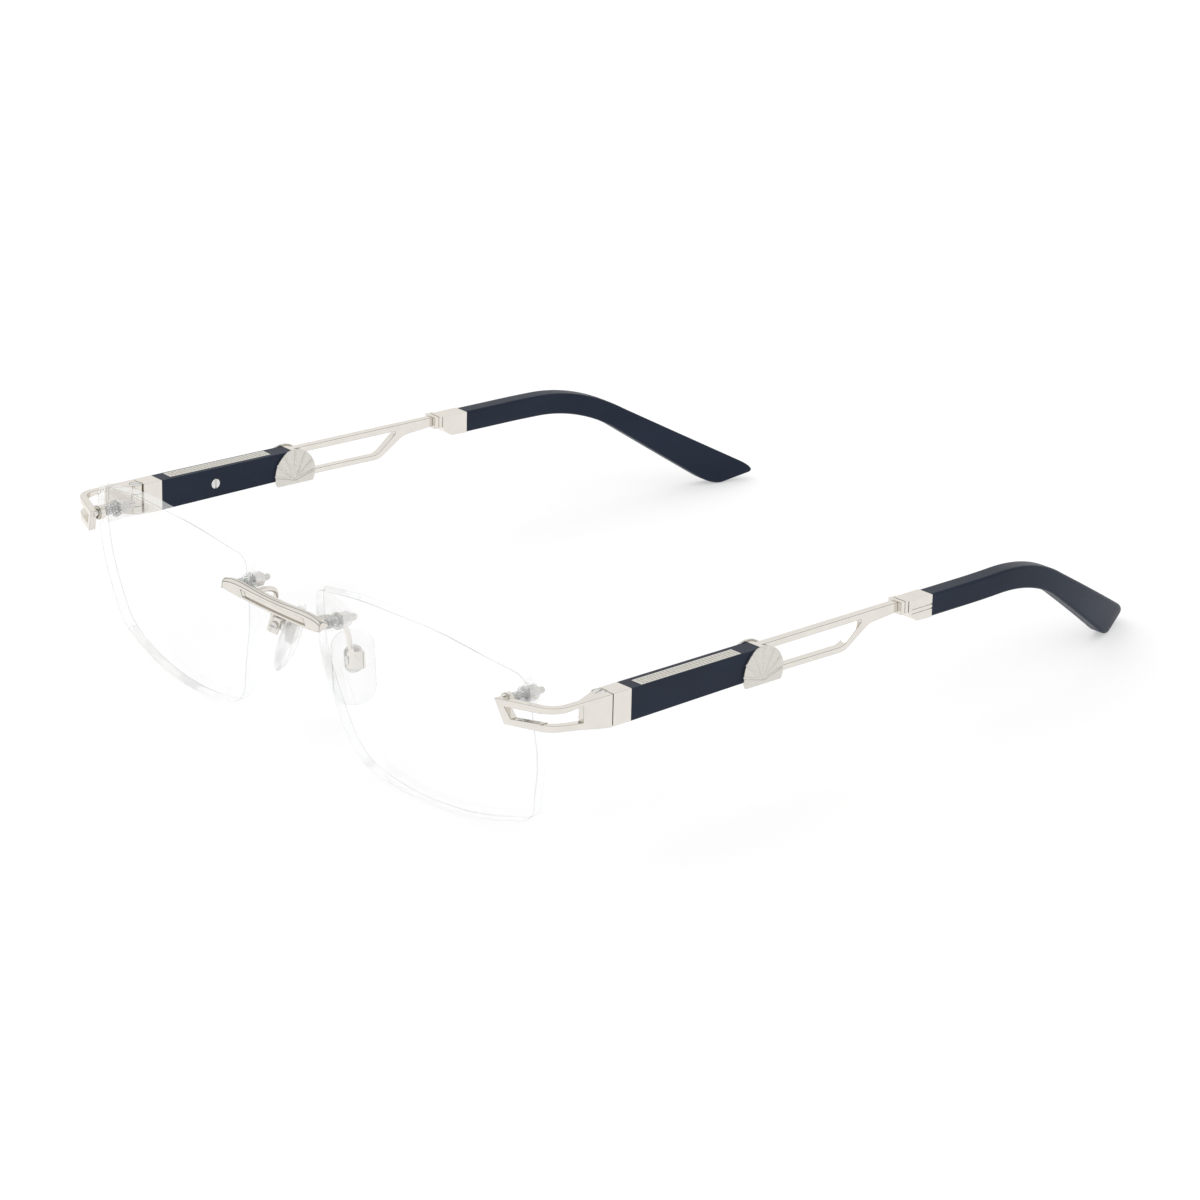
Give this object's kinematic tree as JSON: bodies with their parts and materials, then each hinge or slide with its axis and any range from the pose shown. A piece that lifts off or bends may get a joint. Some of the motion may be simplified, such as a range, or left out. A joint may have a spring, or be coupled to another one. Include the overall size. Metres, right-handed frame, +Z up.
{
  "type": "rimless eyeglasses",
  "caption": "Rimless eyeglasses with drilled lenses, a metal bridge, rocking nose pads and folding open-rail temples with dark blue inserts and curved tips.",
  "frame": {"origin": "middle of the footprint on the surface that the open glasses stand on", "axes": "+Z up, -Y the way the wearer looks, +X the wearer's left, +Y along the temples to their tips"},
  "size_m": [0.1402, 0.1623, 0.0365],
  "materials": {
    "lens": "clear, coated",
    "polished_metal": "polished warm silver plating",
    "hardware": "polished steel",
    "plaque_metal": "satin silver plating",
    "navy_acetate": "satin dark blue acetate",
    "bush_plastic": "clear",
    "pad_silicone": "clear silicone"
  },
  "bodies": {
    "front": {"left_lens": "lens", "right_lens": "lens", "bridge": "polished_metal", "lens_posts": "hardware", "lens_spacers": "polished_metal", "lens_bushes": "bush_plastic", "lens_washers": "hardware", "lens_nuts": "hardware", "left_endpiece": "polished_metal", "right_endpiece": "polished_metal", "left_hinge_screw": "hardware", "right_hinge_screw": "hardware", "left_pad_arm": "polished_metal", "right_pad_arm": "polished_metal", "left_pad_screw": "hardware", "right_pad_screw": "hardware"},
    "left_temple": {"left_hinge_cap": "polished_metal", "left_temple_bar": "polished_metal", "left_insert": "navy_acetate", "left_inlay": "plaque_metal", "left_insert_screw": "hardware", "left_outer_plaque": "plaque_metal", "left_inner_plaque": "plaque_metal", "left_ferrule": "polished_metal", "left_tip_core": "hardware", "left_tip": "navy_acetate"},
    "right_temple": {"right_hinge_cap": "polished_metal", "right_temple_bar": "polished_metal", "right_insert": "navy_acetate", "right_inlay": "plaque_metal", "right_insert_screw": "hardware", "right_outer_plaque": "plaque_metal", "right_inner_plaque": "plaque_metal", "right_ferrule": "polished_metal", "right_tip_core": "hardware", "right_tip": "navy_acetate"},
    "left_pad": {"left_pad_core": "hardware", "left_nose_pad": "pad_silicone"},
    "right_pad": {"right_pad_core": "hardware", "right_nose_pad": "pad_silicone"}
  },
  "joints": [
    {"name": "left_temple_fold", "type": "hinge", "parent": "front", "child": "left_temple", "pos_m": [0.0676, -0.06265, 0.02511], "axis": [0, 0.0272, 0.9996], "range_deg": [0, 88]},
    {"name": "right_temple_fold", "type": "hinge", "parent": "front", "child": "right_temple", "pos_m": [-0.0676, -0.06265, 0.02511], "axis": [0, -0.0272, -0.9996], "range_deg": [0, 80]},
    {"name": "left_pad_rock", "type": "hinge", "parent": "front", "child": "left_pad", "pos_m": [0.01158, -0.07103, 0.0188], "axis": [0.454, 0.8907, -0.0243], "range_deg": [-10, 10]},
    {"name": "right_pad_rock", "type": "hinge", "parent": "front", "child": "right_pad", "pos_m": [-0.01158, -0.07103, 0.0188], "axis": [0.454, -0.8907, 0.0243], "range_deg": [-10, 10]}
  ]
}
